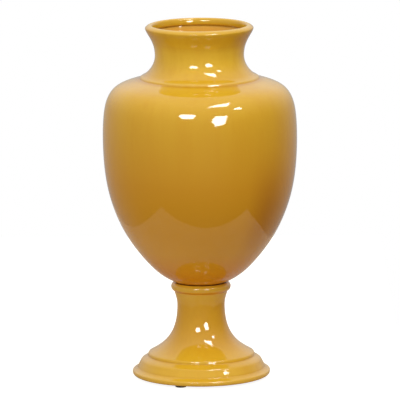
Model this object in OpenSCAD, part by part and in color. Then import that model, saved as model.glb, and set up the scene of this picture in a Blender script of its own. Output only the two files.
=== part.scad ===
// Two-piece pedestal vase in glazed ceramic.
// The body and the pedestal are fired apart and clamped together through the seat
// by one bolt, with a gasket between them. Three rubber pads carry the foot.

/* [Vase body] */
// Widest diameter of the body
body_d = 223; // [190:1:250]
// Height from the seat up to the widest level of the body
belly_h = 170; // [140:1:200]
// Height from the widest level up to the crease under the neck
shoulder_h = 69.2; // [60:0.1:90]
// Diameter of the crease between the shoulder and the neck
ring_d = 138; // [130:1:150]
// Height of the small step at the foot of the neck
ring_h = 2.6; // [2:0.1:4]
// Height from the step up to the narrowest part of the neck
cove_h = 24.2; // [18:0.1:35]
// Diameter of the neck at its narrowest
neck_d = 102.1; // [90:0.1:108]
// Height from the narrowest part up to the widest part of the lip
flare_h = 30.8; // [24:0.1:40]
// Outer diameter of the rolled lip
lip_d = 124.4; // [119:0.1:135]
// Clear diameter inside the rolled lip
mouth_d = 106; // [98:0.5:108]
// Height of the lip's crest above its widest part
lip_rise = 4.2; // [3:0.1:6]
// Height of the roll inside the mouth, under its crest
lip_h = 8.4; // [6:0.1:10]
// Thickness of the body's wall
wall_t = 5; // [4:0.1:6]
// Thickness of the body's floor at the bolt
floor_t = 7; // [5:0.1:9]
// Diameter of the flat under the body that the gasket seals
seat_d = 44; // [43:0.5:48]

/* [Pedestal] */
// Widest diameter of the foot
foot_d = 158.6; // [152:0.2:185]
// Height of the roll at the bottom of the foot
roll_h = 9.4; // [8:0.1:14]
// Diameter of the crease above the roll
band_d = 147; // [144:0.2:150]
// Height of the band above the roll
band_h = 13.5; // [11:0.5:18]
// Diameter of the step where the stem's flare starts
step_d = 123; // [118:0.2:130]
// Height of the stem from the step up to its narrowest part
stem_h = 57.6; // [45:0.1:80]
// Diameter of the stem at its narrowest
stem_d = 54.8; // [50:0.1:60]
// Height from the narrowest part up to the crease under the collar
rise_h = 17.9; // [14:0.1:26]
// Diameter of the crease under the collar
crease_d = 61.8; // [60:0.1:66]
// Outer diameter of the collar's bead
collar_d = 68.8; // [68:0.2:80]
// Height of the collar's bead
collar_h = 10.2; // [8:0.1:13]
// Thickness of the deck inside the collar that carries the body
deck_t = 7; // [5:0.1:9]
// Depth of the deck below the top of the bead
recess_h = 5.1; // [4:0.1:6]
// Diameter of the recess inside the collar
recess_d = 57; // [54:0.5:59]
// Thickness of the stem's wall
stem_wall_t = 5; // [4:0.1:6]
// Thickness of the wall behind the foot's band
band_wall_t = 6; // [4:0.1:8]
// Inner diameter of the flat ring under the foot
foot_ring_d = 114; // [104:0.5:115]

/* [Fixings] */
// Diameter of the bolt's shank
bolt_d = 8; // [6:0.5:8]
// Length of the bolt under its head
bolt_l = 40; // [36:1:50]
// Width across the flats of the bolt's head and of the nut
hex_w = 13; // [12:0.5:15]
// Height of the bolt's head
head_h = 5.3; // [4:0.1:7]
// Height of the nut
nut_h = 6.5; // [5:0.1:8]
// Gap round the shank inside the nut
nut_clearance = 0.05; // [0.02:0.01:0.1]
// Gap round the shank inside the washers
washer_clearance = 0.2; // [0.1:0.05:0.4]
// Gap round the shank inside the ceramic and the gasket
hole_clearance = 1; // [0.5:0.1:1.5]
// Outer diameter of the steel washers
washer_d = 24; // [20:0.5:28]
// Thickness of the steel washers
washer_t = 2; // [1.5:0.1:3]
// Outer diameter of the spring washer
spring_d = 14.8; // [14:0.1:18]
// Thickness of the spring washer
spring_t = 2; // [1.5:0.1:3]
// Width of the spring washer's split
split_w = 1; // [0.6:0.1:2]
// Outer diameter of the rubber washers
rubber_d = 28; // [24:0.5:32]
// Thickness of the rubber washers
rubber_t = 2; // [1.5:0.1:3]
// Width of the gasket's ring
gasket_w = 16.5; // [10:0.5:17]
// Thickness of the gasket
gasket_t = 3; // [2:0.1:3.5]

/* [Foot pads] */
// Diameter of a foot pad
pad_d = 12.7; // [8:0.1:14]
// Thickness of a foot pad
pad_t = 3; // [2:0.1:5]
// Diameter of the circle on which the pads stand
pad_circle_d = 128; // [127:0.5:132]
// Turn of the front pad from the middle of the front, to the left
pad_turn = 21.7; // [0:0.1:60]

/* [Hidden] */
$fn = 96;
// Straight pieces that stand for each stretch of a curve
curve_steps = 4;
// Overrun of every cut
over = 1;

// Levels, from the ground up
foot_z = pad_t;
roll_top_z = foot_z + roll_h;
step_z = roll_top_z + band_h;
stem_z = step_z + stem_h;
crease_z = stem_z + rise_h;
collar_top_z = crease_z + collar_h;
deck_top_z = collar_top_z - recess_h;
deck_z = deck_top_z - deck_t;
seat_z = deck_top_z + gasket_t;
floor_z = seat_z + floor_t;
belly_z = seat_z + belly_h;
ring_z = belly_z + shoulder_h;
ring_edge_z = ring_z + ring_h;
neck_z = ring_edge_z + cove_h;
lip_z = neck_z + flare_h;
top_z = lip_z + lip_rise;
lip_in_z = top_z - lip_h;

// Radii of the holes along the bolt
hole_r = bolt_d / 2 + hole_clearance;
washer_hole_r = bolt_d / 2 + washer_clearance;
nut_hole_r = bolt_d / 2 + nut_clearance;

// Stack on the bolt: up from the body's floor, then down from the deck
head_washer_z = floor_z + rubber_t;
head_z = head_washer_z + washer_t;
cushion_z = deck_z - rubber_t;
clamp_washer_z = cushion_z - washer_t;
spring_z = clamp_washer_z - spring_t;
nut_z = spring_z - nut_h;
bolt_end_z = head_z - bolt_l;

// Chamfers, as shares of the size that carries them
hex_chamfer_share = 0.08;
thread_chamfer_share = 0.1;
pad_chamfer_share = 0.2;

// Outline of the bowl, from the edge of the seat to the widest level
bowl_shares = [[0, 0], [0.118, 0.022], [0.283, 0.074], [0.44, 0.153], [0.611, 0.264],
               [0.756, 0.388], [0.869, 0.527], [0.944, 0.668], [0.986, 0.824], [1, 1]];
// Outline of the shoulder, from the widest level to the crease under the neck
shoulder_shares = [[0.026, 0.378], [0.115, 0.647], [0.315, 0.832], [0.61, 0.922],
                   [0.86, 0.97], [1, 1]];
// How far the small step leans in, of its height
step_lean_share = 0.9;
// Outline of the small step, from the crease to its edge
ring_shares = [[0, 0], [0.4, 0.5], [1, 1]];
// Outline of the neck's cove, from the step's edge to the narrowest part
cove_shares = [[0.27, 0.09], [0.53, 0.25], [0.77, 0.457], [0.935, 0.708], [1, 0.967]];
// Outline of the neck's flare, from the narrowest part to the lip's widest part
flare_shares = [[0.055, 0.2], [0.165, 0.375], [0.37, 0.56], [0.635, 0.735], [0.87, 0.88]];
// Outline of the lip, from its widest part over the crest to the roll's underside
lip_shares = [[0.985, 0.45], [0.96, 0.62], [0.82, 0.78], [0.6, 0.91], [0.38, 0.98],
              [0.19, 0.91], [0.07, 0.7], [0.01, 0.38], [0, 0]];
// Where the inside of the neck meets the roll's underside, of the wall's thickness
under_lip_share = 1.56;
// Inside of the bowl between the floor and the wall
bowl_in_shares = [[0, 0], [0.33, 0.06], [0.68, 0.42]];

// Outline of the foot's roll, from its underside to the crease above it
roll_shares = [[-0.41, 0], [0.32, 0.015], [0.69, 0.07], [0.88, 0.16], [0.98, 0.285],
               [1, 0.45], [0.955, 0.585], [0.77, 0.68], [0.47, 0.77], [0.2, 0.888], [0, 1]];
// Outline of the band, from the crease above the roll to the step
band_shares = [[0, 0], [0.033, 0.06], [0.067, 0.13], [0.131, 0.24], [0.219, 0.385],
               [0.304, 0.525], [0.388, 0.65], [0.575, 0.77], [0.775, 0.86], [0.917, 0.935],
               [1, 1]];
// Outline of the step's round edge, then of the stem up to its narrowest part
edge_shares = [[0, 0], [0.004, 0.022], [0.016, 0.043], [0.041, 0.0625]];
stem_shares = [[0.128, 0.09], [0.245, 0.132], [0.396, 0.193], [0.554, 0.271],
               [0.704, 0.372], [0.84, 0.507], [0.935, 0.667], [0.984, 0.835], [1, 1]];
// Outline of the stem above its narrowest part, up to the crease
rise_shares = [[0.11, 0.357], [0.36, 0.566], [0.66, 0.78], [1, 1]];
// Outline of the collar's bead, from the crease over its top to the recess
bead_shares = [[0, 0], [0.45, 0.09], [0.82, 0.25], [1, 0.47], [0.92, 0.65], [0.65, 0.81],
               [0.3, 0.93], [-0.03, 1]];
bead_in_share = 0.35;
// Corner between the deck's underside and the stem, of the stem's inner radius
deck_corner_shares = [[0.82, 0], [0.96, 0.04], [1, 0.18]];
// Inside of the foot, from the flat ring to the wall behind the band
foot_in_shares = [[0, 0], [0.06, 0.25], [0.48, 0.55]];

// A table of shares set between two corner points
function place(shares, from, to) =
    [for (s = shares) [from[0] + s[0] * (to[0] - from[0]), from[1] + s[1] * (to[1] - from[1])]];

// Control point that makes a cubic B-spline run close by point i of an outline
function lean(p, i) =
    i == 0 || i == len(p) - 1 ? p[i] : (8 * p[i] - p[i - 1] - p[i + 1]) / 6;

// Point at share t of the stretch that four control points make
function bend(a, b, c, d, t) =
    (pow(1 - t, 3) * a + (3 * pow(t, 3) - 6 * pow(t, 2) + 4) * b
     + (-3 * pow(t, 3) + 3 * pow(t, 2) + 3 * t + 1) * c + pow(t, 3) * d) / 6;

// Smooth curve from an outline's first point to its last, close by those between
function smooth(p) =
    let (n = len(p) - 1,
         c = [for (i = [0:n]) lean(p, i)],
         k = concat([2 * c[0] - c[1]], c, [2 * c[n] - c[n - 1]]))
    concat([for (i = [0:n - 1], j = [0:curve_steps - 1])
                bend(k[i], k[i + 1], k[i + 2], k[i + 3], j / curve_steps)],
           [p[n]]);

// An upward outline's points between its ends, moved in by a wall's thickness
function inset(p, t) =
    [for (i = [1:len(p) - 2])
        let (d = p[i + 1] - p[i - 1]) p[i] - t * [d[1], -d[0]] / norm(d)];

// The points of p from number first to number last
function part_of(p, first, last) = [for (i = [first:last]) p[i]];

function all_but_first(p) = part_of(p, 1, len(p) - 1);

function reversed(p) = [for (i = [len(p) - 1:-1:0]) p[i]];

// Corner points of the body's outline
seat_edge = [seat_d / 2, seat_z];
belly = [body_d / 2, belly_z];
ring_crease = [ring_d / 2, ring_z];
ring_edge = [ring_d / 2 - step_lean_share * ring_h, ring_edge_z];
neck = [neck_d / 2, neck_z];
lip = [lip_d / 2, lip_z];

// Outer stretches of the body, upwards, then the lip
bowl_line = concat(place(bowl_shares, seat_edge, belly),
                   place(shoulder_shares, belly, ring_crease));
neck_line = concat(place(ring_shares, ring_crease, ring_edge),
                   place(cove_shares, ring_edge, neck), place(flare_shares, neck, lip));
lip_line = place(lip_shares, [mouth_d / 2, lip_in_z], [lip_d / 2, top_z]);

// Inner stretches of the body, upwards, less the points that crowd at the step and the seat
bowl_wall = inset(concat(bowl_line, [ring_edge]), wall_t);
neck_wall = inset(neck_line, wall_t);
floor_edge = [seat_d / 2, floor_z];
bowl_in = part_of(bowl_wall, 1, len(bowl_wall) - 1);
neck_in = part_of(neck_wall, len(ring_shares), len(neck_wall) - 1);
body_in = concat(place(bowl_in_shares, floor_edge, bowl_in[0]), bowl_in, neck_in,
                 [[lip_d / 2 - under_lip_share * wall_t, lip_in_z]]);

body_outline = concat([[hole_r, seat_z]], smooth(bowl_line),
                      all_but_first(smooth(concat(neck_line, lip_line))),
                      smooth(reversed(body_in)), [[hole_r, floor_z]]);

// Corner points of the pedestal's outline
band_edge = [band_d / 2, roll_top_z];
step_edge = [step_d / 2, step_z];
stem_waist = [stem_d / 2, stem_z];
collar_crease = [crease_d / 2, crease_z];
recess_r = recess_d / 2;
stem_in_r = stem_d / 2 - stem_wall_t;

// Outer stretches of the pedestal, upwards
roll_line = place(roll_shares, [band_edge[0], foot_z], [foot_d / 2, roll_top_z]);
band_line = place(band_shares, band_edge, step_edge);
flare_line = concat(place(stem_shares, step_edge, stem_waist),
                    place(rise_shares, stem_waist, collar_crease));
stem_line = concat(place(edge_shares, step_edge, stem_waist), flare_line);
bead_line = concat(place(bead_shares, collar_crease, [collar_d / 2, collar_top_z]),
                   [[recess_r, collar_top_z - bead_in_share * recess_h]]);

// Inner stretch of the pedestal, upwards, less the points that crowd at the band and the deck
band_wall = inset(band_line, band_wall_t);
stem_wall = inset(flare_line, stem_wall_t);
foot_in = [band_wall[3], band_wall[5], band_wall[7]];
pedestal_in = concat(place(foot_in_shares, [foot_ring_d / 2, foot_z], foot_in[0]), foot_in,
                     part_of(stem_wall, 0, len(stem_wall) - 3),
                     reversed(place(deck_corner_shares, [0, deck_z],
                                    [stem_in_r, deck_z - stem_in_r])));

pedestal_outline = concat(smooth(roll_line), all_but_first(smooth(band_line)),
                          all_but_first(smooth(stem_line)), all_but_first(smooth(bead_line)),
                          [[recess_r, deck_top_z], [hole_r, deck_top_z], [hole_r, deck_z]],
                          smooth(reversed(pedestal_in)));

// A flat ring whose underside is at height z
module flat_ring(outer_r, inner_r, thickness, z) {
    translate([0, 0, z])
        rotate_extrude()
            translate([inner_r, 0]) square([outer_r - inner_r, thickness]);
}

// A hexagon with its corners turned off, on one end or on both
module turned_hex(height, both_ends) {
    corner_r = hex_w / 2 / cos(30);
    chamfer = hex_w * hex_chamfer_share;
    low = both_ends ? chamfer / 2 : 0;
    low_r = both_ends ? corner_r - chamfer : corner_r;
    intersection() {
        cylinder(r = corner_r, h = height, $fn = 6);
        rotate_extrude()
            polygon([[0, 0], [low_r, 0], [corner_r, low],
                     [corner_r, height - chamfer / 2], [corner_r - chamfer, height],
                     [0, height]]);
    }
}

module vase_body() {
    color([0.80, 0.61, 0.17]) rotate_extrude() polygon(body_outline);
}

module pedestal() {
    color([0.79, 0.60, 0.18]) rotate_extrude() polygon(pedestal_outline);
}

module seat_gasket() {
    color([0.07, 0.07, 0.07]) flat_ring(hole_r + gasket_w, hole_r, gasket_t, deck_top_z);
}

module tie_bolt() {
    chamfer = bolt_d * thread_chamfer_share;
    color([0.72, 0.73, 0.75]) {
        translate([0, 0, head_z]) turned_hex(head_h, false);
        translate([0, 0, bolt_end_z + chamfer]) cylinder(d = bolt_d, h = bolt_l - chamfer);
        translate([0, 0, bolt_end_z])
            cylinder(d1 = bolt_d - 2 * chamfer, d2 = bolt_d, h = chamfer);
    }
}

module bowl_seal_washer() {
    color([0.07, 0.07, 0.07]) flat_ring(rubber_d / 2, washer_hole_r, rubber_t, floor_z);
}

module bolt_head_washer() {
    color([0.72, 0.73, 0.75]) flat_ring(washer_d / 2, washer_hole_r, washer_t, head_washer_z);
}

module deck_cushion_washer() {
    color([0.07, 0.07, 0.07]) flat_ring(rubber_d / 2, washer_hole_r, rubber_t, cushion_z);
}

module clamp_washer() {
    color([0.72, 0.73, 0.75]) flat_ring(washer_d / 2, washer_hole_r, washer_t, clamp_washer_z);
}

module spring_washer() {
    color([0.62, 0.63, 0.65]) difference() {
        flat_ring(spring_d / 2, washer_hole_r, spring_t, spring_z);
        translate([0, -split_w / 2, spring_z - over])
            cube([spring_d / 2 + over, split_w, spring_t + 2 * over]);
    }
}

module clamp_nut() {
    color([0.72, 0.73, 0.75]) translate([0, 0, nut_z]) difference() {
        turned_hex(nut_h, true);
        translate([0, 0, -over]) cylinder(r = nut_hole_r, h = nut_h + 2 * over);
    }
}

// One pad, turned a number of thirds of a turn round the foot from the front one
module foot_pad(thirds) {
    chamfer = pad_t * pad_chamfer_share;
    color([0.05, 0.05, 0.05])
        rotate([0, 0, 120 * thirds - pad_turn])
            translate([0, -pad_circle_d / 2, 0])
                rotate_extrude()
                    polygon([[0, 0], [pad_d / 2 - chamfer, 0], [pad_d / 2, chamfer],
                             [pad_d / 2, pad_t], [0, pad_t]]);
}

vase_body();
pedestal();
seat_gasket();
tie_bolt();
bowl_seal_washer();
bolt_head_washer();
deck_cushion_washer();
clamp_washer();
spring_washer();
clamp_nut();
foot_pad(0);  // foot_pad_front
foot_pad(1);  // foot_pad_right
foot_pad(2);  // foot_pad_back
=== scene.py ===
"""Glazed pedestal vase: body, pedestal, gasket, bolt set and foot pads, and their stage."""

from math import atan2, cos, pi, radians, sin, tan, tau
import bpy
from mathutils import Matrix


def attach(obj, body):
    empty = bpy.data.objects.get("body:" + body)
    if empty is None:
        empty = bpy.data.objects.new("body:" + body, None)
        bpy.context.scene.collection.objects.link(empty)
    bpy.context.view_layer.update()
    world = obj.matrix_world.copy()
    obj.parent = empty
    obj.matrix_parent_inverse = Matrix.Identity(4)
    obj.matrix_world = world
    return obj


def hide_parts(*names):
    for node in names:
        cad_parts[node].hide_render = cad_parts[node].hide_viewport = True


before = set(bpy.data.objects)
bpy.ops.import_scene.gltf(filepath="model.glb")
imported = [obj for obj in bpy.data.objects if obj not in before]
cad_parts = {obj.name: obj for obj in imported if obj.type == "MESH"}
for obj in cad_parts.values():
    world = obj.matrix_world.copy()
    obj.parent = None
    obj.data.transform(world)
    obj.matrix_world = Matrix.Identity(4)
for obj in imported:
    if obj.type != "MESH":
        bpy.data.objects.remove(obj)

from types import SimpleNamespace

import bmesh
import bpy
from mathutils import Matrix, Vector

bl_info = {
    "name": "Pedestal Vase",
    "version": (1, 0, 0),
    "blender": (4, 5, 0),
    "location": "3D View > Sidebar > Vase",
    "description": "Makes a glazed pedestal vase from its sizes and glaze colours",
    "category": "Add Mesh",
}

BODY = "root"

# Outlines as shares of the run and rise between two named points, as in the part's source
BOWL_SHARES = [(0, 0), (.118, .022), (.283, .074), (.44, .153), (.611, .264), (.756, .388),
               (.869, .527), (.944, .668), (.986, .824), (1, 1)]
SHOULDER_SHARES = [(.026, .378), (.115, .647), (.315, .832), (.61, .922), (.86, .97), (1, 1)]
STEP_LEAN_SHARE = .9
RING_SHARES = [(0, 0), (.4, .5), (1, 1)]
COVE_SHARES = [(.27, .09), (.53, .25), (.77, .457), (.935, .708), (1, .967)]
FLARE_SHARES = [(.055, .2), (.165, .375), (.37, .56), (.635, .735), (.87, .88)]
LIP_SHARES = [(.985, .45), (.96, .62), (.82, .78), (.6, .91), (.38, .98), (.19, .91), (.07, .7),
              (.01, .38), (0, 0)]
UNDER_LIP_SHARE = 1.56
BOWL_IN_SHARES = [(0, 0), (.33, .06), (.68, .42)]
ROLL_SHARES = [(-.41, 0), (.32, .015), (.69, .07), (.88, .16), (.98, .285), (1, .45),
               (.955, .585), (.77, .68), (.47, .77), (.2, .888), (0, 1)]
BAND_SHARES = [(0, 0), (.033, .06), (.067, .13), (.131, .24), (.219, .385), (.304, .525),
               (.388, .65), (.575, .77), (.775, .86), (.917, .935), (1, 1)]
EDGE_SHARES = [(0, 0), (.004, .022), (.016, .043), (.041, .0625)]
STEM_SHARES = [(.128, .09), (.245, .132), (.396, .193), (.554, .271), (.704, .372), (.84, .507),
               (.935, .667), (.984, .835), (1, 1)]
RISE_SHARES = [(.11, .357), (.36, .566), (.66, .78), (1, 1)]
BEAD_SHARES = [(0, 0), (.45, .09), (.82, .25), (1, .47), (.92, .65), (.65, .81), (.3, .93),
               (-.03, 1)]
BEAD_IN_SHARE = .35
DECK_CORNER_SHARES = [(.82, 0), (.96, .04), (1, .18)]
FOOT_IN_SHARES = [(0, 0), (.06, .25), (.48, .55)]

# Faces in a full turn, and on a curve between two points of an outline
CASTING_FACES, RING_FACES, SPRING_FACES = 192, 96, 90
HEXAGON_FACES, THREAD_FACES, PAD_FACES = 72, 32, 64
CURVE_STEPS, FOOT_STEPS, INNER_STEPS = 6, 5, 3

# Widths of the rounded edges, in metres, and what counts as a sharp edge and as one point
CASTING_EDGE, GASKET_EDGE, RUBBER_EDGE, PAD_EDGE = .0004, .0006, .0004, .0005
STEEL_EDGE, SPRING_EDGE = .0003, .0002
SHARP_ANGLE = radians(32)
MERGE_DISTANCE = 2e-6

# Hexagons: the radius of the round rim as a share of the width across flats, the radius of
# the flat on the head as a share of the rim's, and how deep the nut is countersunk, in metres
RIM_SHARE, HEAD_FLAT_SHARE = .47, .8
CHAMFER_SLOPE = tan(radians(30))
COUNTERSINK = .0004
# Under the bolt's head: the fillet as a share of the shank's radius, and its height in metres
FILLET_SHARE, FILLET_HEIGHT = 1.12, .0005
# The thread's depth, and its rib's half widths at foot and crest, as shares of the pitch
THREAD_DEPTH_SHARE, RIB_FOOT_SHARE, RIB_CREST_SHARE = .61, .45, .07
# Lengths at the ends of the thread, and how far the rib is sunk into the core, in metres
CORE_END, POINT_CHAMFER, THREAD_START, THREAD_RUNOUT, RIB_SINK = .0008, .0007, .0012, .0022, .0002

PAD_SIDES = "front", "right", "back"

# The glaze's colour by height above the table, in metres, under the collar's top and over it:
# partly the glaze's own, partly painted shade that deepens the bowl's walls, its lower part and its
# bottom over the collar, and painted light that makes the neck paler
STEM_LAYERS = [(0, "glaze"), (.03, "glaze"), (.046, "glaze_stem"), (.086, "glaze_stem"),
               (.097, "glaze")]
BODY_LAYERS = [(.122, "glaze_amber"), (.155, "glaze_bowl"), (.18, "glaze_deep"),
               (.235, "glaze_deep"), (.325, "glaze"), (.355, "glaze"), (.374, "glaze_thin"),
               (.383, "glaze_thin"), (.397, "glaze")]
SEAM_BLEND = .001
# How much each of these changes the glaze's colour: its drift, its streaks, the painted shade on
# the right of the bowl, its grains, and the painted shade inside the mouth
DRIFT_SHARE, STREAK_SHARE, PAINTED_SHADE_SHARE, GRAIN_SHARE, MOUTH_SHARE = .2, .18, .55, .12, .6
# The painted shade on the right of the bowl's front: the middle and reach of its side, as a share
# of the radius, and of its height in metres, and where it ends towards the back
PAINTED_SHADE_SIDE, PAINTED_SHADE_HEIGHT, PAINTED_SHADE_END = (.74, .27), (.202, .08), (-.02, .02)
# How far the glaze's bands waver, and where it begins above the foot's underside, in metres
WAVER, BARE_UP_TO, GLAZED_FROM = .0008, .0004, .0011
ROUGH_SWING, EDGE_ROUGH, CLAY_ROUGH = .03, .25, .8
ZINC_TINT = (.55, .52, .40)

# Soft boxes: name, share of the light, and the azimuth and elevation of the corners
SOFT_BOXES = [
    ("left", .20, [(-26.8, 25), (-23, 29), (-7, 29.5), (-4.6, 26.5), (-8, 19), (-22, 18)]),
    ("right", .05, [(14, 14.3), (19.5, 24), (34.5, 23), (30, 8.5), (18, 6.5)]),
    ("high", .05, [(48, 37), (60, 36.5), (61.5, 43), (52, 43)]),
    ("over", .30, [(12, 52.5), (48, 53), (68, 64), (28, 61.5)]),
]
# Corners of the table top, in metres
TABLE_CORNERS = [(-.30, -.27), (0, -.238), (.33, -.195), (.30, 0), (.235, .30), (.235, .9),
                 (-.33, .9)]
# What the glaze mirrors of the room in front of the vase and behind it: greys by height, where
# 0 is straight down and 1 straight up, and how much darker they are low on the right
FRONT_GREYS = [(.0, .12), (.2, .13), (.37, .27), (.55, .38), (.72, .55), (.87, .75),
               (.96, .98), (1.0, .95)]
BACK_GREYS = [(.0, .36), (.3, .36), (.5, .55), (.7, 1.08), (.85, 1.15), (1.0, .95)]
DARK_RIGHT = .55
# How much of the room's light comes from the left, and low and high from the right
LEFT_LIGHT = (1.38, 1.38, 1.36)
LOW_RIGHT_LIGHT, HIGH_RIGHT_LIGHT = (.40, .22, .16), (1.04, .90, .72)
# The camera's shift, a third of one of the picture's 400 pixels, and the farthest it sees
PICTURE_SHIFT = -.33 / 400
FAR_CLIP = 50


def length(name, description, mm):
    """A size property, given in millimetres and kept in metres."""
    return bpy.props.FloatProperty(name=name, description=description, default=mm / 1000,
                                   min=0, precision=5, unit="LENGTH")


def turned(name, description, degrees):
    """An angle property, given in degrees and kept in radians."""
    return bpy.props.FloatProperty(name=name, description=description, default=radians(degrees),
                                   subtype="ANGLE")


def colour(name, description, shade):
    """A colour property in linear values."""
    return bpy.props.FloatVectorProperty(name=name, description=description, default=shade,
                                         size=3, min=0, max=1, subtype="COLOR")


def amount(name, description, value, top=1.0):
    """A plain number from nought to top."""
    return bpy.props.FloatProperty(name=name, description=description, default=value,
                                   min=0, max=top, precision=4)


class VaseBodySizes(bpy.types.PropertyGroup):
    """Sizes of the upper casting."""

    body_d: length("Body width", "Widest diameter of the body", 223)
    belly_h: length("Belly height", "From the seat up to the widest level", 170)
    shoulder_h: length("Shoulder height", "From the widest level up to the neck's crease", 69.2)
    ring_d: length("Neck crease", "Diameter of the crease between shoulder and neck", 138)
    ring_h: length("Step", "Height of the small step at the foot of the neck", 2.6)
    cove_h: length("Cove height", "From the step up to the narrowest part of the neck", 24.2)
    neck_d: length("Neck width", "Diameter of the neck at its narrowest", 102.1)
    flare_h: length("Flare height", "From the narrowest part up to the widest of the lip", 30.8)
    lip_d: length("Lip width", "Outer diameter of the rolled lip", 124.4)
    mouth_d: length("Mouth", "Clear diameter inside the rolled lip", 106)
    lip_rise: length("Lip rise", "Height of the lip's crest above its widest part", 4.2)
    lip_h: length("Lip roll", "Height of the roll inside the mouth", 8.4)
    wall_t: length("Wall", "Thickness of the body's wall", 5)
    floor_t: length("Floor", "Thickness of the body's floor at the bolt", 7)
    seat_d: length("Seat", "Diameter of the flat that the gasket seals", 44)


class VasePedestalSizes(bpy.types.PropertyGroup):
    """Sizes of the lower casting."""

    foot_d: length("Foot width", "Widest diameter of the foot", 158.6)
    roll_h: length("Roll height", "Height of the roll at the bottom of the foot", 9.4)
    band_d: length("Band width", "Diameter of the crease above the roll", 147)
    band_h: length("Band height", "Height of the band above the roll", 13.5)
    step_d: length("Step width", "Diameter of the step where the stem starts", 123)
    stem_h: length("Stem height", "From the step up to the narrowest part", 57.6)
    stem_d: length("Stem width", "Diameter of the stem at its narrowest", 54.8)
    rise_h: length("Rise", "From the narrowest part up to the crease under the collar", 17.9)
    crease_d: length("Collar crease", "Diameter of the crease under the collar", 61.8)
    collar_d: length("Collar width", "Outer diameter of the collar's bead", 68.8)
    collar_h: length("Collar height", "Height of the collar's bead", 10.2)
    deck_t: length("Deck", "Thickness of the deck that carries the body", 7)
    recess_h: length("Recess depth", "Depth of the deck below the top of the bead", 5.1)
    recess_d: length("Recess width", "Diameter of the recess inside the collar", 57)
    stem_wall_t: length("Stem wall", "Thickness of the stem's wall", 5)
    band_wall_t: length("Band wall", "Thickness of the wall behind the band", 6)
    foot_ring_d: length("Foot ring", "Inner diameter of the flat ring under the foot", 114)


class VaseFixingSizes(bpy.types.PropertyGroup):
    """Sizes of the gasket, the bolt and its washers, and the pads."""

    bolt_d: length("Bolt", "Diameter of the bolt's shank", 8)
    bolt_l: length("Bolt length", "Length of the bolt under its head", 40)
    thread_l: length("Thread length", "Length of the thread at the bolt's end", 26)
    pitch: length("Pitch", "Pitch of the thread", 1.25)
    hex_w: length("Across flats", "Width across the flats of the head and the nut", 13)
    head_h: length("Head height", "Height of the bolt's head", 5.3)
    nut_h: length("Nut height", "Height of the nut", 6.5)
    nut_clearance: length("Nut gap", "Gap round the shank inside the nut", .05)
    washer_clearance: length("Washer gap", "Gap round the shank inside the washers", .2)
    hole_clearance: length("Hole gap", "Gap round the shank inside the castings", 1)
    washer_d: length("Washer width", "Outer diameter of the steel washers", 24)
    washer_t: length("Washer", "Thickness of the steel washers", 2)
    spring_d: length("Spring washer width", "Outer diameter of the spring washer", 14.8)
    spring_t: length("Spring washer", "Thickness of the spring washer", 2)
    split_w: length("Split", "Width of the spring washer's split", 1)
    rubber_d: length("Rubber washer width", "Outer diameter of the rubber washers", 28)
    rubber_t: length("Rubber washer", "Thickness of the rubber washers", 2)
    gasket_w: length("Gasket width", "Width of the gasket's ring", 16.5)
    gasket_t: length("Gasket", "Thickness of the gasket", 3)
    pad_d: length("Pad width", "Diameter of a foot pad", 12.7)
    pad_t: length("Pad", "Thickness of a foot pad", 3)
    pad_circle_d: length("Pad circle", "Diameter of the circle that the pads stand on", 128)
    pad_turn: turned("Pad turn", "Turn of the front pad to the left", 21.7)


class VaseLook(bpy.types.PropertyGroup):
    """Colours and finish of the glaze, rubber and steel."""

    glaze: colour("Glaze", "Colour of the mustard glaze", (.75, .46, .027))
    # The neck's paler colour is partly thinner glaze and partly painted light.
    glaze_thin: colour("Thin glaze", "Colour of the glaze on the neck", (.86, .58, .045))
    glaze_stem: colour("Stem glaze", "Colour of the glaze on the stem", (.69, .385, .018))
    # Low on the bowl and at its bottom these colours are partly painted shade; the amber is also
    # the collar's painted reflection at the bowl's bottom, the painted shade inside the mouth and
    # the colour of the crease under the collar.
    glaze_bowl: colour("Bowl glaze", "Colour of the glaze low on the bowl", (.71, .37, .017))
    glaze_amber: colour("Amber glaze", "Colour of the glaze at the bottom of the bowl",
                        (.72, .295, .012))
    # The deep glaze is the glaze's random drift and streaks, and painted shade on the bowl's walls.
    glaze_deep: colour("Deep glaze", "Colour where the glaze lies thicker", (.67, .337, .0145))
    # The dark glaze colours the grains and the creases, and is painted as shade on the right of the
    # bowl and as a shadow under the lip's roll.
    glaze_dark_and_shade: colour("Pooled glaze", "Colour where the glaze has run into a crease",
                       (.45, .165, .008))
    glaze_edge: colour("Edge glaze", "Colour where the glaze draws off an edge", (.80, .56, .12))
    glaze_rough: amount("Glaze roughness", "Roughness of the glaze", .05)
    clay: colour("Clay", "Colour of the bare fired clay under the foot", (.62, .50, .36))
    rubber: colour("Rubber", "Colour of the gasket, rubber washers and pads", (.018, .018, .019))
    steel: colour("Steel", "Colour of the zinc plated steel", (.52, .54, .57))


class VaseStage(bpy.types.PropertyGroup):
    """Camera, table and light."""

    distance: length("Distance", "From the camera to the point it aims at", 6325)
    aim_h: length("Aim height", "Height of the point that the camera aims at", 206.6)
    rise: turned("Rise", "Angle of the camera above the level", 9.9)
    roll: turned("Roll", "Roll of the camera", .37)
    view_w: length("View width", "Width of the view at the aimed point", 460)
    table: colour("Table", "Colour of the table top in reflections", (.64, .64, .64))
    bounce: colour("Bounce", "Colour that the table throws back on the vase", (.58, .50, .36))
    low: colour("Low light", "Light of the room from below", (.34, .285, .21))
    level: colour("Level light", "Light of the room from the sides", (.41, .34, .28))
    high: colour("High light", "Light of the room from above", (.60, .56, .52))
    lamp: colour("Lamp light", "Colour of the light of the soft boxes", (.97, 1, 1))
    lamp_distance: length("Lamp distance", "From the vase to the soft boxes", 6000)
    glint: amount("Glints", "Brightness of the soft boxes in reflections", 22.0, 100)
    ground: amount("Ground", "Whiteness of the table before its light and shadow", .9)


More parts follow.
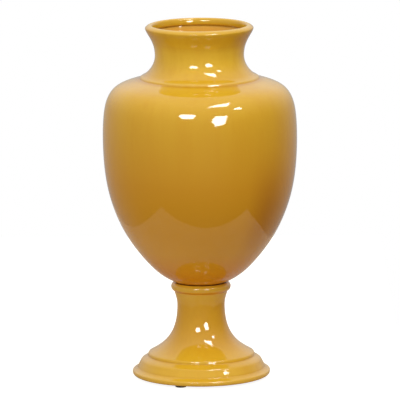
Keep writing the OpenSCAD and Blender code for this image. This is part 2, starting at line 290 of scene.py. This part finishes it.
def sizes(context):
    """The size groups and the levels that the pieces share, from the table upwards."""
    scene = context.scene
    s = SimpleNamespace(body=scene.vase_body, ped=scene.vase_pedestal, fix=scene.vase_fixings)
    s.foot_z = s.fix.pad_t
    s.roll_top_z = s.foot_z + s.ped.roll_h
    s.step_z = s.roll_top_z + s.ped.band_h
    s.waist_z = s.step_z + s.ped.stem_h
    s.crease_z = s.waist_z + s.ped.rise_h
    s.collar_top_z = s.crease_z + s.ped.collar_h
    s.deck_top_z = s.collar_top_z - s.ped.recess_h
    s.deck_z = s.deck_top_z - s.ped.deck_t
    s.seat_z = s.deck_top_z + s.fix.gasket_t
    s.floor_z = s.seat_z + s.body.floor_t
    s.belly_z = s.seat_z + s.body.belly_h
    s.ring_z = s.belly_z + s.body.shoulder_h
    s.ring_edge_z = s.ring_z + s.body.ring_h
    s.neck_z = s.ring_edge_z + s.body.cove_h
    s.lip_z = s.neck_z + s.body.flare_h
    s.top_z = s.lip_z + s.body.lip_rise
    s.lip_in_z = s.top_z - s.body.lip_h
    s.shank_r = s.fix.bolt_d / 2
    s.hole_r = s.shank_r + s.fix.hole_clearance
    s.bore_r = s.shank_r + s.fix.washer_clearance
    s.head_z = s.floor_z + s.fix.rubber_t + s.fix.washer_t
    s.low_rubber_z = s.deck_z - s.fix.rubber_t
    s.low_washer_z = s.low_rubber_z - s.fix.washer_t
    s.spring_z = s.low_washer_z - s.fix.spring_t
    s.nut_z = s.spring_z - s.fix.nut_h
    return s


# Outlines: lists of (radius, height) points

def place(shares, start, end):
    """Points at shares of the way from start to end."""
    return [Vector((start.x + a * (end.x - start.x), start.y + b * (end.y - start.y)))
            for a, b in shares]


def smooth(points, steps):
    """A smooth curve from the first point to the last, close by those between."""
    last = len(points) - 1
    hold = [p.copy() if i in (0, last) else (8 * p - points[i - 1] - points[i + 1]) / 6
            for i, p in enumerate(points)]
    hold = [2 * hold[0] - hold[1]] + hold + [2 * hold[last] - hold[last - 1]]
    curve = []
    for a, b, c, d in zip(hold, hold[1:], hold[2:], hold[3:]):
        for t in (j / steps for j in range(steps)):
            curve.append(((1 - t) ** 3 * a + (3 * t ** 3 - 6 * t ** 2 + 4) * b
                          + (-3 * t ** 3 + 3 * t ** 2 + 3 * t + 1) * c + t ** 3 * d) / 6)
    return curve + [points[last].copy()]


def inset(points, depth):
    """The points of an upward outline between its ends, moved in by a wall's thickness."""
    moved = []
    for low, p, high in zip(points, points[1:], points[2:]):
        run = (high - low).normalized()
        moved.append(p - depth * Vector((run.y, -run.x)))
    return moved


def body_outline(s):
    """Closed outline of the vase body, from the bolt hole outwards, up and back down inside."""
    b = s.body
    seat_edge, belly = Vector((b.seat_d / 2, s.seat_z)), Vector((b.body_d / 2, s.belly_z))
    crease = Vector((b.ring_d / 2, s.ring_z))
    edge = Vector((b.ring_d / 2 - STEP_LEAN_SHARE * b.ring_h, s.ring_edge_z))
    neck, lip = Vector((b.neck_d / 2, s.neck_z)), Vector((b.lip_d / 2, s.lip_z))
    bowl_line = place(BOWL_SHARES, seat_edge, belly) + place(SHOULDER_SHARES, belly, crease)
    neck_line = (place(RING_SHARES, crease, edge) + place(COVE_SHARES, edge, neck)
                 + place(FLARE_SHARES, neck, lip))
    lip_line = place(LIP_SHARES, Vector((b.mouth_d / 2, s.lip_in_z)),
                     Vector((b.lip_d / 2, s.top_z)))
    bowl_in = inset(bowl_line + [edge], b.wall_t)[1:]
    neck_in = inset(neck_line, b.wall_t)[len(RING_SHARES):]
    inner = (place(BOWL_IN_SHARES, Vector((b.seat_d / 2, s.floor_z)), bowl_in[0])
             + bowl_in + neck_in
             + [Vector((b.lip_d / 2 - UNDER_LIP_SHARE * b.wall_t, s.lip_in_z))])
    return ([Vector((s.hole_r, s.seat_z))] + smooth(bowl_line, CURVE_STEPS)
            + smooth(neck_line + lip_line, CURVE_STEPS)[1:] + smooth(inner[::-1], INNER_STEPS)
            + [Vector((s.hole_r, s.floor_z))])


def pedestal_outline(s):
    """Closed outline of the pedestal, from under the foot up to the deck and back down inside."""
    p = s.ped
    band_edge = Vector((p.band_d / 2, s.roll_top_z))
    step_edge, waist = Vector((p.step_d / 2, s.step_z)), Vector((p.stem_d / 2, s.waist_z))
    crease, recess_r = Vector((p.crease_d / 2, s.crease_z)), p.recess_d / 2
    stem_in_r = p.stem_d / 2 - p.stem_wall_t
    roll_line = place(ROLL_SHARES, Vector((band_edge.x, s.foot_z)),
                      Vector((p.foot_d / 2, s.roll_top_z)))
    band_line = place(BAND_SHARES, band_edge, step_edge)
    flare_line = place(STEM_SHARES, step_edge, waist) + place(RISE_SHARES, waist, crease)
    stem_line = place(EDGE_SHARES, step_edge, waist) + flare_line
    bead_line = (place(BEAD_SHARES, crease, Vector((p.collar_d / 2, s.collar_top_z)))
                 + [Vector((recess_r, s.collar_top_z - BEAD_IN_SHARE * p.recess_h))])
    foot_in = inset(band_line, p.band_wall_t)[3::2]
    inner = (place(FOOT_IN_SHARES, Vector((p.foot_ring_d / 2, s.foot_z)), foot_in[0]) + foot_in
             + inset(flare_line, p.stem_wall_t)[:-2]
             + place(DECK_CORNER_SHARES, Vector((0, s.deck_z)),
                     Vector((stem_in_r, s.deck_z - stem_in_r)))[::-1])
    return (smooth(roll_line, FOOT_STEPS) + smooth(band_line, FOOT_STEPS)[1:]
            + smooth(stem_line, CURVE_STEPS)[1:] + smooth(bead_line, CURVE_STEPS)[1:]
            + [Vector((recess_r, s.deck_top_z)), Vector((s.hole_r, s.deck_top_z)),
               Vector((s.hole_r, s.deck_z))] + smooth(inner[::-1], INNER_STEPS))


# Meshes

def wind(bm, outline, steps, angle=tau, start=0.0, climb=0.0):
    """Adds a closed outline turned round the Z axis, from a start angle, as it climbs."""
    verts = [bm.verts.new((r, 0, z)) for r, z in outline]
    bmesh.ops.rotate(bm, verts=verts, cent=(0, 0, 0), matrix=Matrix.Rotation(start, 3, "Z"))
    edges = [bm.edges.new(pair) for pair in zip(verts, verts[1:] + verts[:1])]
    bmesh.ops.spin(bm, geom=verts + edges, cent=(0, 0, 0), axis=(0, 0, 1),
                   dvec=(0, 0, climb / steps), angle=angle, steps=steps,
                   use_merge=angle == tau and not climb, use_duplicate=False)


def spun(outline, steps):
    """A bmesh of a closed outline turned once round the Z axis."""
    bm = bmesh.new()
    wind(bm, outline, steps)
    return bm


def close_ends(bm, sides):
    """Fills the open loops of up to so many sides, or every one where sides is 0."""
    bmesh.ops.holes_fill(bm, edges=[e for e in bm.edges if e.is_boundary], sides=sides)


def corners(bm):
    """The edges where two faces meet sharply."""
    return [e for e in bm.edges if len(e.link_faces) == 2 and e.calc_face_angle() > SHARP_ANGLE]


def piece(context, bm, name, node, slot, rounding=0.0, segments=3):
    """Makes a bmesh the object that stands for a CAD node, with its sharp edges rounded."""
    bmesh.ops.remove_doubles(bm, verts=bm.verts, dist=MERGE_DISTANCE)
    bmesh.ops.recalc_face_normals(bm, faces=bm.faces)
    if rounding:
        bmesh.ops.bevel(bm, geom=corners(bm), offset=rounding, offset_type="OFFSET",
                        affect="EDGES", segments=segments, profile=.5, material=-1,
                        clamp_overlap=True)
    for face in bm.faces:
        face.smooth = True
    for edge in corners(bm):
        edge.smooth = False
    mesh = bpy.data.meshes.new(name)
    bm.to_mesh(mesh)
    bm.free()
    mesh.materials.append(finish(context, slot))
    thing = bpy.data.objects.new(name, mesh)
    context.scene.collection.objects.link(thing)
    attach(thing, BODY)
    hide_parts(node)


def ring_outline(inner_r, outer_r, z, thickness):
    """The outline of a flat ring whose underside is at height z."""
    return [(inner_r, z), (outer_r, z), (outer_r, z + thickness), (inner_r, z + thickness)]


def six_sided(across):
    """The distance of a hexagon's outline from its centre, by angle."""
    return lambda angle: across / 2 / cos((angle + pi / 6) % (pi / 3) - pi / 6)


def chamfered(hexagon, rim, z, slope):
    """The height of a hexagon's edge where a cone cuts it from a round rim, by angle."""
    return lambda angle: z + (hexagon(angle) - rim) * slope


def at(value, angle):
    """A plain value, or one that varies with the angle."""
    return value(angle) if callable(value) else value


def drawn_up(loops):
    """A bmesh through loops of (radius, height), where either may vary with the angle."""
    bm = bmesh.new()
    rim = bmesh.ops.create_circle(bm, cap_ends=False, segments=HEXAGON_FACES, radius=1)["verts"]
    edges = list(bm.edges)
    for number, (radius, height) in enumerate(loops):
        if number:
            made = bmesh.ops.extrude_edge_only(bm, edges=edges)["geom"]
            rim = [v for v in made if isinstance(v, bmesh.types.BMVert)]
            edges = [e for e in made if isinstance(e, bmesh.types.BMEdge)
                     and all(v in rim for v in e.verts)]
        for v in rim:
            angle = atan2(v.co.y, v.co.x)
            r = at(radius, angle)
            v.co = (r * cos(angle), r * sin(angle), at(height, angle))
    return bm


# Materials

def rgb(shade, gain=1):
    """A colour as a socket takes it, made darker or lighter by a gain."""
    return (*(c * gain for c in shade), 1)


class Value:
    """A socket that takes plain arithmetic."""

    def __init__(self, tree, socket):
        self.tree, self.socket = tree, socket

    def math(self, operation, *others):
        return self.tree.node("ShaderNodeMath", {"operation": operation},
                              dict(enumerate((self, *others))))

    def __add__(self, other):
        return self.math("ADD", other)

    def __sub__(self, other):
        return self.math("SUBTRACT", other)

    def __rsub__(self, other):
        return self.tree.node("ShaderNodeMath", {"operation": "SUBTRACT"}, {0: other, 1: self})

    def __mul__(self, other):
        return self.math("MULTIPLY", other)

    def __truediv__(self, other):
        return self.math("DIVIDE", other)

    def __pow__(self, other):
        return self.math("POWER", other)

    __radd__, __rmul__ = __add__, __mul__

    def between(self, low, high):
        """Nought at low, one at high, with soft ends."""
        return self.tree.node("ShaderNodeMapRange", {"interpolation_type": "SMOOTHSTEP"},
                              {"Value": self, "From Min": low, "From Max": high})

    def near(self, middle, reach):
        """One at the middle, nought from a reach away on either side."""
        return 1 - (self - middle).math("ABSOLUTE").between(0, reach)


class Tree:
    """The nodes of a material or a world."""

    def __init__(self, owner):
        owner.use_nodes = True
        self.nodes, self.links = owner.node_tree.nodes, owner.node_tree.links
        self.nodes.clear()

    def node(self, kind, settings=None, sockets=None, out=0):
        """A node by its type, its settings and the values or links of its sockets."""
        made = self.nodes.new(kind)
        for key, value in (settings or {}).items():
            if key == "stops":
                while len(made.color_ramp.elements) < len(value):
                    made.color_ramp.elements.new(.5)
                for stop, (share, shade) in zip(made.color_ramp.elements, value):
                    stop.position = share
                    stop.color = rgb(shade if isinstance(shade, tuple) else (shade,) * 3)
            else:
                setattr(made, key, value)
        for key, value in (sockets or {}).items():
            if isinstance(value, Value):
                self.links.new(value.socket, made.inputs[key])
            else:
                made.inputs[key].default_value = value
        return Value(self, made.outputs[out]) if len(made.outputs) else made

    def spot(self):
        """Object coordinates."""
        return self.node("ShaderNodeTexCoord", out="Object")

    def parts(self, vector):
        """The x, y and z of a vector."""
        split = self.node("ShaderNodeSeparateXYZ", None, {0: vector}).socket.node
        return tuple(Value(self, socket) for socket in split.outputs)

    def stretched(self, spot, scale):
        """Coordinates scaled along x, y and z: a pattern on them is longer where this is small."""
        return self.node("ShaderNodeMapping", None, {"Vector": spot, "Scale": scale})

    def noise(self, spot, scale, detail=2.0, roughness=.5):
        """Noise about one half, finer with a larger scale."""
        return self.node("ShaderNodeTexNoise", None,
                         {"Vector": spot, "Scale": scale, "Detail": detail, "Roughness": roughness})

    def mix(self, factor, a, b, blend="MIX"):
        """Colour a at factor 0 and colour b at 1, on the node's colour sockets."""
        return self.node("ShaderNodeMix", {"data_type": "RGBA", "blend_type": blend},
                         {0: factor, 6: a, 7: b}, out=2)

    def bump(self, height, depth, strength):
        """A normal from a height, which stands as many metres high as the depth where it is 1."""
        return self.node("ShaderNodeBump", None,
                         {"Height": height, "Distance": depth, "Strength": strength})

    def surface(self, shader, output="ShaderNodeOutputMaterial"):
        """Ends the tree with its shader."""
        self.node(output, None, {"Surface": shader})

    def skin(self, tone, rough, normal, **others):
        """Ends a material with a principled shader."""
        self.surface(self.node("ShaderNodeBsdfPrincipled", None, {
            "Base Color": tone, "Roughness": rough, "Normal": normal, **others}))


def bands(level, rows):
    """Soft bands round the vase, each by its height, its reach up and down, and its strength."""
    first, *others = [level.near(height, reach) * strength for height, reach, strength in rows]
    return sum(others, first)


def glaze(t, context):
    """Glossy mustard glaze: thin on edges, darker in creases, painted with shade and light, with
    bare clay under the foot.
    """
    look, s = context.scene.vase_look, sizes(context)
    spot = t.spot()
    x, y, z = t.parts(spot)
    radius = (x * x + y * y) ** .5
    # By height the glaze is partly thicker or thinner, and partly painted: shade deepens the bowl
    # low down and at its bottom, light makes the neck paler.
    seam = [(s.collar_top_z - SEAM_BLEND, "glaze"), (s.collar_top_z, "glaze_amber")]
    layers = t.node("ShaderNodeValToRGB", {"stops": [
        (height / s.top_z, tuple(getattr(look, name)))
        for height, name in STEM_LAYERS + seam + BODY_LAYERS]}, {0: z / s.top_z})
    # It has drifted and run down in faint streaks.
    run = t.stretched(spot, (1, 1, .45))
    cloud = t.noise(run, scale=22, detail=3, roughness=.55)
    fine = t.noise(run, scale=160, roughness=.6)
    drift = (cloud * .8 + fine * .2).between(.36, .68)
    streaks = t.noise(t.stretched(spot, (1, 1, .07)), scale=75, detail=3, roughness=.6)
    tone = t.mix(drift * DRIFT_SHARE + streaks.between(.45, .7) * STREAK_SHARE, layers,
                 rgb(look.glaze_deep))
    # Painted shade darkens the right of the bowl's front, and dark grains lie all over.
    painted_shade = (x / radius).near(*PAINTED_SHADE_SIDE) * (1 - y.between(*PAINTED_SHADE_END)) * z.near(*PAINTED_SHADE_HEIGHT)
    tone = t.mix(painted_shade * PAINTED_SHADE_SHARE, tone, rgb(look.glaze_dark_and_shade))
    grains = t.noise(spot, scale=1900, detail=1).between(.66, .74)
    tone = t.mix(grains * GRAIN_SHARE, tone, rgb(look.glaze_dark_and_shade))
    # It is amber in the crease under the collar and darker in the other creases; under the lip's
    # roll inside the mouth is a painted shadow, and the wall inside the mouth is painted amber as
    # shade.
    level = z + (t.noise(spot, scale=90) - .5) * WAVER
    amber = bands(level, [(s.crease_z + .001, .0028, .9)])
    tone = t.mix(amber, tone, rgb(look.glaze_amber))
    creases_and_shadow = bands(level, [(s.ring_z - .0003, .002, .4), (s.roll_top_z, .0018, .15),
                           (s.step_z, .0014, .3)])
    inside = 1 - radius.between(s.body.mouth_d / 2 - .0006, s.body.mouth_d / 2 + .0018)
    # A painted shadow lies under the lip's roll inside the mouth.
    creases_and_shadow = creases_and_shadow + level.near(s.lip_in_z, .0022) * inside * .9
    # Painted shade makes the wall inside the mouth amber.
    wall = (z.between(s.neck_z + .013, s.neck_z + .016)
            * (1 - z.between(s.lip_in_z, s.lip_in_z + .004)))
    tone = t.mix(wall * inside * MOUTH_SHARE, tone, rgb(look.glaze_amber))
    tone = t.mix(creases_and_shadow, tone, rgb(look.glaze_dark_and_shade))
    # It draws thin on the edges, which are paler and less glossy.
    edge = bands(level, [(s.top_z, .0021, .8), (s.ring_edge_z - .0004, .0016, .5),
                         (s.roll_top_z - .004, .0022, .25)])
    edge = edge * (t.noise(spot, scale=120, detail=3, roughness=.6) * .5 + .7)
    tone = t.mix(edge, tone, rgb(look.glaze_edge))
    # The clay is bare up to just above the foot's underside.
    bare = 1 - z.between(s.foot_z + BARE_UP_TO, s.foot_z + GLAZED_FROM)
    clay = t.mix(t.noise(spot, scale=700, detail=3, roughness=.7), rgb(look.clay),
                 rgb(look.clay, .8))
    tone = t.mix(bare, tone, clay)
    rough = (t.noise(spot, scale=60) * ROUGH_SWING + (look.glaze_rough - ROUGH_SWING / 2)
             + edge * EDGE_ROUGH)
    rough = rough * (1 - bare) + bare * CLAY_ROUGH
    # It has faint waves, and throwing lines show through it round the neck.
    lines = t.noise(t.stretched(spot, (.12, .12, 1)), scale=420)
    lines = lines * z.between(s.ring_edge_z - .004, s.ring_edge_z + .004) * .06
    relief = t.noise(run, scale=26) * .8 + t.noise(spot, scale=330, detail=1) * .03 + lines
    relief = relief + t.noise(spot, scale=2600, roughness=.6) * bare * .3
    t.skin(tone, rough, t.bump(relief, depth=.0004, strength=.35), IOR=1.55)


def rubber(t, context):
    """Matt black rubber with a faint moulded grain."""
    look = context.scene.vase_look
    spot = t.spot()
    dust = t.noise(spot, scale=420, detail=4, roughness=.65).between(.5, .8)
    tone = t.mix(dust * .25, rgb(look.rubber), rgb(look.rubber, 3.5))
    rough = t.noise(spot, scale=300) * .2 + .55
    grain = t.noise(spot, scale=2200, roughness=.6)
    t.skin(tone, rough, t.bump(grain, depth=.0002, strength=.35), IOR=1.5)


def steel(t, context):
    """Zinc plated steel, with its cloudy grain and fine scratches."""
    look = context.scene.vase_look
    spot = t.spot()
    cloud = t.noise(spot, scale=260, detail=4, roughness=.6)
    lines = t.noise(t.stretched(spot, (1, 1, 14)), scale=700, roughness=.6)
    tone = t.mix(cloud * .5, rgb(look.steel), rgb(look.steel, .72))
    tint = t.noise(spot, scale=90, detail=1).between(.5, .75)
    tone = t.mix(tint * .25, tone, rgb(ZINC_TINT))
    rough = cloud * .18 + lines * .12 + .2
    t.skin(tone, rough, t.bump(lines * .6 + cloud * .4, depth=.00008, strength=.4), Metallic=1.0)


# The material of each slot: its name and what makes its nodes
FINISHES = {"yellow_glaze": ("mustard_glaze", glaze), "black_rubber": ("black_rubber", rubber),
            "zinc_steel": ("zinc_steel", steel)}


def finish(context, slot):
    """The material of a slot, made once."""
    name, paint = FINISHES[slot]
    material = bpy.data.materials.get(name)
    if not material:
        material = bpy.data.materials.new(name)
        paint(Tree(material), context)
    return material


# Operators

class VASE_OT_body(bpy.types.Operator):
    """Turns the hollow vase body with its neck and rolled lip"""

    bl_idname = "vase.body"
    bl_label = "Vase Body"

    def execute(self, context):
        bm = spun(body_outline(sizes(context)), CASTING_FACES)
        piece(context, bm, "glazed_body", "vase_body", "yellow_glaze", CASTING_EDGE)
        return {"FINISHED"}


class VASE_OT_pedestal(bpy.types.Operator):
    """Turns the hollow pedestal with its foot, stem and collar"""

    bl_idname = "vase.pedestal"
    bl_label = "Pedestal"

    def execute(self, context):
        bm = spun(pedestal_outline(sizes(context)), CASTING_FACES)
        piece(context, bm, "glazed_pedestal", "pedestal", "yellow_glaze", CASTING_EDGE)
        return {"FINISHED"}


class VASE_OT_rubber_rings(bpy.types.Operator):
    """Makes the gasket and the two rubber washers"""

    bl_idname = "vase.rubber_rings"
    bl_label = "Gasket and Rubber Washers"

    def execute(self, context):
        s = sizes(context)
        gasket = ring_outline(s.hole_r, s.hole_r + s.fix.gasket_w, s.deck_top_z, s.fix.gasket_t)
        piece(context, spun(gasket, RING_FACES), "gasket_ring", "seat_gasket", "black_rubber",
              GASKET_EDGE)
        for name, node, z in (("bowl_rubber", "bowl_seal_washer", s.floor_z),
                              ("deck_rubber", "deck_cushion_washer", s.low_rubber_z)):
            washer = ring_outline(s.bore_r, s.fix.rubber_d / 2, z, s.fix.rubber_t)
            piece(context, spun(washer, RING_FACES), name, node, "black_rubber", RUBBER_EDGE)
        return {"FINISHED"}


class VASE_OT_steel_washers(bpy.types.Operator):
    """Makes the two steel washers and the split spring washer"""

    bl_idname = "vase.steel_washers"
    bl_label = "Steel Washers"

    def execute(self, context):
        s = sizes(context)
        for name, node, z in (("head_washer", "bolt_head_washer", s.floor_z + s.fix.rubber_t),
                              ("lower_washer", "clamp_washer", s.low_washer_z)):
            washer = ring_outline(s.bore_r, s.fix.washer_d / 2, z, s.fix.washer_t)
            piece(context, spun(washer, RING_FACES), name, node, "zinc_steel", STEEL_EDGE)
        spring_r = s.fix.spring_d / 2
        split = s.fix.split_w / spring_r
        bm = bmesh.new()
        wind(bm, ring_outline(s.bore_r, spring_r, s.spring_z, s.fix.spring_t), SPRING_FACES,
             tau - split, start=split / 2)
        close_ends(bm, 4)
        piece(context, bm, "split_washer", "spring_washer", "zinc_steel", SPRING_EDGE, segments=2)
        return {"FINISHED"}


class VASE_OT_bolt(bpy.types.Operator):
    """Makes the hexagon bolt with its rolled thread"""

    bl_idname = "vase.bolt"
    bl_label = "Tie Bolt"

    def execute(self, context):
        s = sizes(context)
        f, shank_r, fillet_z = s.fix, s.shank_r, s.head_z - FILLET_HEIGHT
        hexagon, rim = six_sided(f.hex_w), f.hex_w * RIM_SHARE
        top, end = s.head_z + f.head_h, s.head_z - f.bolt_l
        start, core = end + f.thread_l, shank_r - f.pitch * THREAD_DEPTH_SHARE
        bm = drawn_up([
            (rim * HEAD_FLAT_SHARE, top), (rim, top),
            (hexagon, chamfered(hexagon, rim, top, -CHAMFER_SLOPE)), (hexagon, s.head_z),
            (shank_r * FILLET_SHARE, s.head_z), (shank_r, fillet_z), (shank_r, start),
            (core, start - CORE_END), (core, end + CORE_END), (core - POINT_CHAMFER, end)])
        close_ends(bm, 0)
        # The thread is one rib that winds up the core, sunk a little into it.
        foot_r, foot, crest = core - RIB_SINK, RIB_FOOT_SHARE, RIB_CREST_SHARE
        rib = [(r, end + THREAD_START + share * f.pitch) for r, share in (
            (foot_r, -foot), (shank_r, -crest), (shank_r, crest), (foot_r, foot))]
        turns = (f.thread_l - THREAD_RUNOUT) / f.pitch
        wind(bm, rib, round(turns * THREAD_FACES), tau * turns, climb=turns * f.pitch)
        close_ends(bm, 4)
        piece(context, bm, "threaded_bolt", "tie_bolt", "zinc_steel")
        return {"FINISHED"}


class VASE_OT_nut(bpy.types.Operator):
    """Makes the hexagon nut under the deck"""

    bl_idname = "vase.nut"
    bl_label = "Clamp Nut"

    def execute(self, context):
        s = sizes(context)
        f, low, top = s.fix, s.nut_z, s.nut_z + s.fix.nut_h
        hexagon, rim = six_sided(f.hex_w), f.hex_w * RIM_SHARE
        bore = s.shank_r + f.nut_clearance
        bm = drawn_up([
            (bore, low + COUNTERSINK), (bore + COUNTERSINK, low), (rim, low),
            (hexagon, chamfered(hexagon, rim, low, CHAMFER_SLOPE)),
            (hexagon, chamfered(hexagon, rim, top, -CHAMFER_SLOPE)),
            (rim, top), (bore + COUNTERSINK, top), (bore, top - COUNTERSINK),
            (bore, low + COUNTERSINK)])
        piece(context, bm, "hexagon_nut", "clamp_nut", "zinc_steel")
        return {"FINISHED"}


class VASE_OT_pads(bpy.types.Operator):
    """Makes the three rubber pads under the foot"""

    bl_idname = "vase.pads"
    bl_label = "Foot Pads"

    def execute(self, context):
        f = context.scene.vase_fixings
        for number, side in enumerate(PAD_SIDES):
            turn = -pi / 2 - f.pad_turn + number * tau / len(PAD_SIDES)
            bm = bmesh.new()
            bmesh.ops.create_cone(bm, cap_ends=True, cap_tris=False, segments=PAD_FACES,
                                  radius1=f.pad_d / 2, radius2=f.pad_d / 2, depth=f.pad_t)
            bmesh.ops.translate(bm, verts=bm.verts, vec=(
                f.pad_circle_d / 2 * cos(turn), f.pad_circle_d / 2 * sin(turn), f.pad_t / 2))
            piece(context, bm, "rubber_pad_" + side, "foot_pad_" + side, "black_rubber", PAD_EDGE)
        return {"FINISHED"}


def direction(azimuth, elevation):
    """A unit vector by degrees from the front towards the right, and above the level."""
    a, e = radians(azimuth), radians(elevation)
    return Vector((sin(a) * cos(e), -cos(a) * cos(e), sin(e)))


class VASE_OT_stage(bpy.types.Operator):
    """Sets up the camera, the pale table, the soft boxes and the room"""

    bl_idname = "vase.stage"
    bl_label = "Stage"

    def camera(self, context, st):
        """The camera, which looks down a little at the vase."""
        scene = context.scene
        data = bpy.data.cameras.new("photo_view")
        data.lens = data.sensor_width * st.distance / st.view_w
        data.shift_x = PICTURE_SHIFT
        data.clip_end = FAR_CLIP
        view = bpy.data.objects.new("photo_view", data)
        aim = Vector((0, 0, st.aim_h))
        away = direction(0, st.rise * 180 / pi)
        turn = (-away).to_track_quat("-Z", "Y").to_matrix().to_4x4()
        view.matrix_world = (Matrix.Translation(aim + away * st.distance) @ turn
                             @ Matrix.Rotation(-st.roll, 4, "Z"))
        scene.collection.objects.link(view)
        scene.camera = view

    def panel(self, context, name, points, material):
        """A flat face of the stage."""
        bm = bmesh.new()
        bm.faces.new([bm.verts.new(p) for p in points])
        mesh = bpy.data.meshes.new(name)
        bm.to_mesh(mesh)
        bm.free()
        mesh.materials.append(material)
        shown = bpy.data.objects.new(name, mesh)
        context.scene.collection.objects.link(shown)
        return shown

    def table(self, context, st):
        """The pale table top, which the camera sees near white with the vase's shadow on it."""
        made = bpy.data.materials.new("pale_table")
        t = Tree(made)
        seen = t.node("ShaderNodeLightPath", out="Is Camera Ray")
        glossy = t.node("ShaderNodeLightPath", out="Is Glossy Ray")
        plain = t.node("ShaderNodeBsdfDiffuse", None, {
            "Color": t.mix(glossy, rgb(st.bounce), rgb(st.table))})
        white = t.node("ShaderNodeEmission", None, {"Strength": st.ground})
        lit = t.node("ShaderNodeAddShader", None, {0: plain, 1: white})
        t.surface(t.node("ShaderNodeMixShader", None, {0: seen, 1: plain, 2: lit}))
        self.panel(context, "table_top", [(x, y, 0) for x, y in TABLE_CORNERS], made)

    def soft_box(self, context, st, name, share, around):
        """A panel for the reflections, and a lamp of its size for the light."""
        middle = Vector((0, 0, st.aim_h))
        points = [middle + direction(*corner) * st.lamp_distance for corner in around]
        made = bpy.data.materials.new("soft_box_" + name)
        t = Tree(made)
        t.surface(t.node("ShaderNodeEmission", None, {"Strength": st.glint}))
        shown = self.panel(context, "soft_box_" + name, points, made)
        shown.visible_camera = shown.visible_diffuse = shown.visible_shadow = False
        centre = sum(points, Vector()) / len(points)
        away = centre - middle
        data = bpy.data.lights.new("lamp_" + name, "AREA")
        data.shape = "DISK"
        data.size = 2 * max((p - centre).length for p in points)
        # It gives the vase the same light from any distance.
        data.energy = share * (pi * away.length) ** 2
        data.color = st.lamp
        lamp = bpy.data.objects.new("lamp_" + name, data)
        lamp.matrix_world = (Matrix.Translation(centre)
                             @ away.to_track_quat("Z", "Y").to_matrix().to_4x4())
        lamp.visible_camera = lamp.visible_glossy = False
        context.scene.collection.objects.link(lamp)

    def room(self, context, st):
        """A white backdrop for the camera, and a soft room for the light and the reflections."""
        world = bpy.data.worlds.new("room")
        context.scene.world = world
        t = Tree(world)
        x, y, z = t.parts(t.node("ShaderNodeTexCoord", out="Generated"))
        height = z * .5 + .5
        front = t.node("ShaderNodeValToRGB", {"stops": FRONT_GREYS}, {0: height})
        back = t.node("ShaderNodeValToRGB", {"stops": BACK_GREYS}, {0: height})
        mirrored = t.mix(y.between(-.1, .9), front, back)
        # The room that is mirrored is darker low on the right.
        right = x.between(.1, 1.0) * (1 - z.between(.1, .8)) * (1 - y.between(.1, .8))
        mirrored = t.mix(right * DARK_RIGHT, mirrored, rgb((0, 0, 0)))
        # More of the room's light comes from the left, and what comes from the right is warmer.
        low, level, high = tuple(st.low), tuple(st.level), tuple(st.high)
        soft = t.node("ShaderNodeValToRGB", {
            "stops": [(.0, low), (.25, low), (.5, level), (1.0, high)]}, {0: height})
        warm = t.mix(height, rgb(LOW_RIGHT_LIGHT), rgb(HIGH_RIGHT_LIGHT))
        soft = t.mix(1, soft, t.mix(x * .5 + .5, rgb(LEFT_LIGHT), warm), "MULTIPLY")
        glossy = t.node("ShaderNodeLightPath", out="Is Glossy Ray")
        seen = t.node("ShaderNodeLightPath", out="Is Camera Ray")
        light = t.node("ShaderNodeBackground", None, {"Color": t.mix(glossy, soft, mirrored)})
        white = t.node("ShaderNodeBackground", None, {"Color": rgb((1, 1, 1))})
        t.surface(t.node("ShaderNodeMixShader", None, {0: seen, 1: light, 2: white}),
                  "ShaderNodeOutputWorld")

    def execute(self, context):
        st = context.scene.vase_stage
        self.camera(context, st)
        self.table(context, st)
        for box in SOFT_BOXES:
            self.soft_box(context, st, *box)
        self.room(context, st)
        context.scene.view_settings.view_transform = "Standard"
        return {"FINISHED"}


OPERATORS = (VASE_OT_body, VASE_OT_pedestal, VASE_OT_rubber_rings, VASE_OT_steel_washers,
             VASE_OT_bolt, VASE_OT_nut, VASE_OT_pads, VASE_OT_stage)
GROUPS = {"vase_body": VaseBodySizes, "vase_pedestal": VasePedestalSizes,
          "vase_fixings": VaseFixingSizes, "vase_look": VaseLook, "vase_stage": VaseStage}


class VASE_PT_pieces(bpy.types.Panel):
    """Lists the pieces of the vase"""

    bl_idname = "VASE_PT_pieces"
    bl_label = "Pedestal Vase"
    bl_space_type = "VIEW_3D"
    bl_region_type = "UI"
    bl_category = "Vase"

    def draw(self, context):
        for kind in OPERATORS:
            self.layout.operator(kind.bl_idname)
        for group in GROUPS:
            box = self.layout.box()
            settings = getattr(context.scene, group)
            for name in settings.__annotations__:
                box.prop(settings, name)


def register():
    for kind in (*GROUPS.values(), *OPERATORS, VASE_PT_pieces):
        bpy.utils.register_class(kind)
    for name, kind in GROUPS.items():
        setattr(bpy.types.Scene, name, bpy.props.PointerProperty(type=kind))


def unregister():
    for name in GROUPS:
        delattr(bpy.types.Scene, name)
    for kind in (VASE_PT_pieces, *OPERATORS, *GROUPS.values()):
        bpy.utils.unregister_class(kind)


def main():
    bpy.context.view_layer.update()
    register()
    bpy.ops.vase.body()
    bpy.ops.vase.pedestal()
    bpy.ops.vase.rubber_rings()
    bpy.ops.vase.steel_washers()
    bpy.ops.vase.bolt()
    bpy.ops.vase.nut()
    bpy.ops.vase.pads()
    bpy.ops.vase.stage()


if __name__ == "__main__":
    main()
